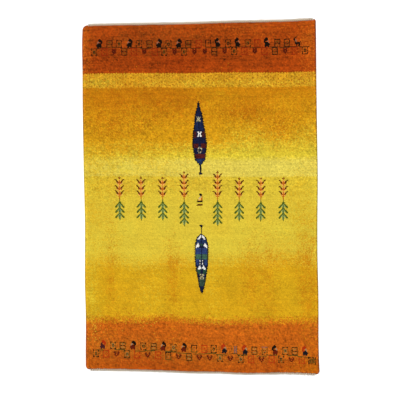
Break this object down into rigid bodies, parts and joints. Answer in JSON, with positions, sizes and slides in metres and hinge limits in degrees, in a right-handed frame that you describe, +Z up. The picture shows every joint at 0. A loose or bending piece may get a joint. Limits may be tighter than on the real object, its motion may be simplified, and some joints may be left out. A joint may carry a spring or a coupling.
{
  "type": "gabbeh rug",
  "caption": "Hand-knotted gabbeh rug in gold and orange wool with thick pile, overcast sides and plaited ends, lying flat.",
  "frame": {"origin": "on the floor under the middle of the rug", "axes": "+Y along the rug's length towards its upper end, +X across it to the right, +Z up out of the pile"},
  "size_m": [1.2411, 1.8588, 0.0138],
  "materials": {
    "pile_wool": "clipped wool pile",
    "selvedge_wool": "overcast wool yarn",
    "plait_wool": "twisted wool yarn"
  },
  "bodies": {
    "root": {"pile_field": "pile_wool", "selvedge_left": "selvedge_wool", "selvedge_right": "selvedge_wool", "end_plait_lower": "plait_wool", "end_plait_upper": "plait_wool"}
  },
  "joints": []
}
